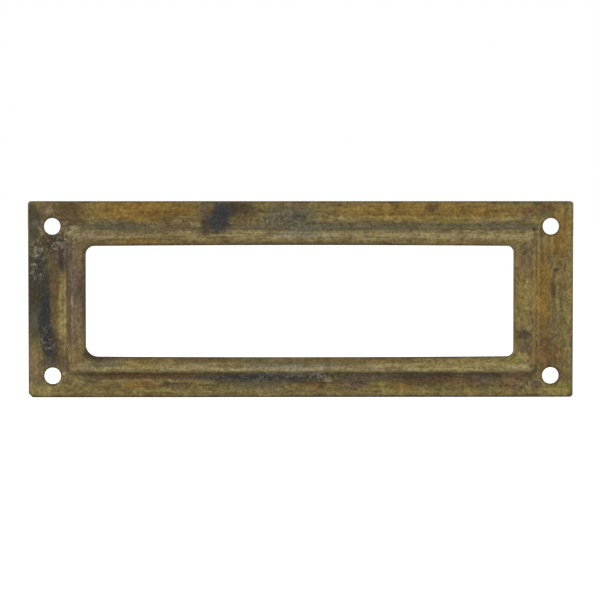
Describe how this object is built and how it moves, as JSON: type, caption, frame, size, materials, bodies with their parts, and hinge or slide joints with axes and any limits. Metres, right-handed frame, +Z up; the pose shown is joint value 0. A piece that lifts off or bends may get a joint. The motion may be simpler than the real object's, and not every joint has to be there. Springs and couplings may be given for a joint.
{
  "type": "label holder",
  "caption": "Pressed brass label holder for a drawer front: a flat rectangular frame with a raised border round a wide window, a card pocket behind it and a screw hole in each corner.",
  "frame": {"origin": "middle of the screw-hole rectangle, on the plane of the flange's back, which lies against the drawer front", "axes": "+X along the holder to the right as seen from the front, +Z up, +Y into the drawer front, so the face of the label looks along -Y"},
  "size_m": [0.0794, 0.0013, 0.0286],
  "materials": {
    "aged_brass": "thin pressed brass sheet with a blotchy brown, green and blue-black patina, worn to dull gold on the ridges"
  },
  "bodies": {
    "root": {"label_frame": "aged_brass"}
  },
  "joints": []
}
